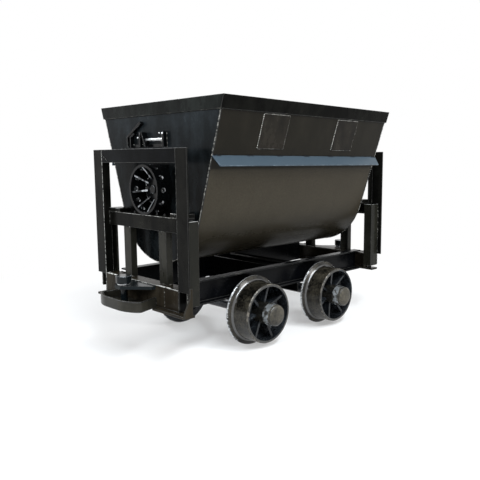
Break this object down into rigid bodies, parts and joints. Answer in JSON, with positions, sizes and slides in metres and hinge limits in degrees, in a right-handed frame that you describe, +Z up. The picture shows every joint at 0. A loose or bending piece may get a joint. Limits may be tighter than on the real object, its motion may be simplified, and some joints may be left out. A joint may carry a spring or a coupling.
{
  "type": "ore cart",
  "caption": "Side-tipping ore cart on rails: a round-bottomed steel bucket rolls on rings and studded rails between end portals, on a channel frame with flanged wheels.",
  "frame": {"origin": "floor level under the wheel flanges, midway along and across the cart", "axes": "+X along the track towards the front coupling, +Y across towards the left long side, +Z up"},
  "size_m": [1.806, 1.0048, 1.216],
  "materials": {
    "frame_paint": "glossy black paint over rolled steel",
    "bucket_paint": "glossy black paint over steel plate",
    "wheel_iron": "black-painted cast wheel with a worn tread",
    "bare_steel": "rubbed dark steel"
  },
  "bodies": {
    "frame": {"sill_left": "frame_paint", "sill_right": "frame_paint", "cross_member_front": "frame_paint", "cross_member_rear": "frame_paint", "end_beam_front": "frame_paint", "end_beam_rear": "frame_paint", "portal_post_front_left": "frame_paint", "portal_post_front_right": "frame_paint", "portal_post_rear_left": "frame_paint", "portal_post_rear_right": "frame_paint", "portal_bar_front": "frame_paint", "portal_bar_rear": "frame_paint", "short_post_front_left": "frame_paint", "short_post_front_right": "frame_paint", "short_post_rear_left": "frame_paint", "short_post_rear_right": "frame_paint", "roll_rail_front": "frame_paint", "roll_rail_rear": "frame_paint", "rail_studs_front": "bare_steel", "rail_studs_rear": "bare_steel", "rail_stops_front": "frame_paint", "rail_stops_rear": "frame_paint", "rail_strut_front_left": "frame_paint", "rail_strut_front_right": "frame_paint", "rail_strut_rear_left": "frame_paint", "rail_strut_rear_right": "frame_paint", "bumper_front": "frame_paint", "bumper_rear": "frame_paint", "coupler_plate_front": "frame_paint", "coupler_plate_rear": "frame_paint", "coupling_pin_front": "bare_steel", "coupling_pin_rear": "bare_steel", "axle_box_front_left": "frame_paint", "axle_box_front_right": "frame_paint", "axle_box_rear_left": "frame_paint", "axle_box_rear_right": "frame_paint"},
    "wheelset_front": {"axle_front": "wheel_iron", "wheel_front_left": "wheel_iron", "wheel_front_right": "wheel_iron"},
    "wheelset_rear": {"axle_rear": "wheel_iron", "wheel_rear_left": "wheel_iron", "wheel_rear_right": "wheel_iron"},
    "roll_carrier": {"roll_button_front": "bare_steel", "roll_button_rear": "bare_steel"},
    "bucket": {"bucket_shell": "bucket_paint", "end_wall_front": "bucket_paint", "end_wall_rear": "bucket_paint", "rim": "bucket_paint", "drip_strip_left": "bucket_paint", "drip_strip_right": "bucket_paint", "doublers_left": "bucket_paint", "doublers_right": "bucket_paint", "roll_ring_front": "bucket_paint", "roll_ring_rear": "bucket_paint", "catch_front": "bucket_paint", "catch_rear": "bucket_paint"}
  },
  "joints": [
    {"name": "wheelset_front_spin", "type": "hinge", "parent": "frame", "child": "wheelset_front", "pos_m": [0.275, 0, 0.178], "axis": [0, 1, 0], "continuous": true},
    {"name": "wheelset_rear_spin", "type": "hinge", "parent": "frame", "child": "wheelset_rear", "pos_m": [-0.275, 0, 0.178], "axis": [0, 1, 0], "continuous": true},
    {"name": "bucket_roll", "type": "slide", "parent": "frame", "child": "roll_carrier", "axis": [0, 1, 0], "range_m": [-0.084, 0.084]},
    {"name": "bucket_tip", "type": "hinge", "parent": "roll_carrier", "child": "bucket", "pos_m": [0, 0, 0.7983], "axis": [1, 0, 0], "range_deg": [-40, 40]}
  ],
  "couplings": [
    {"joint": "bucket_roll", "follows": "bucket_tip", "m_per_rad": -0.12}
  ]
}
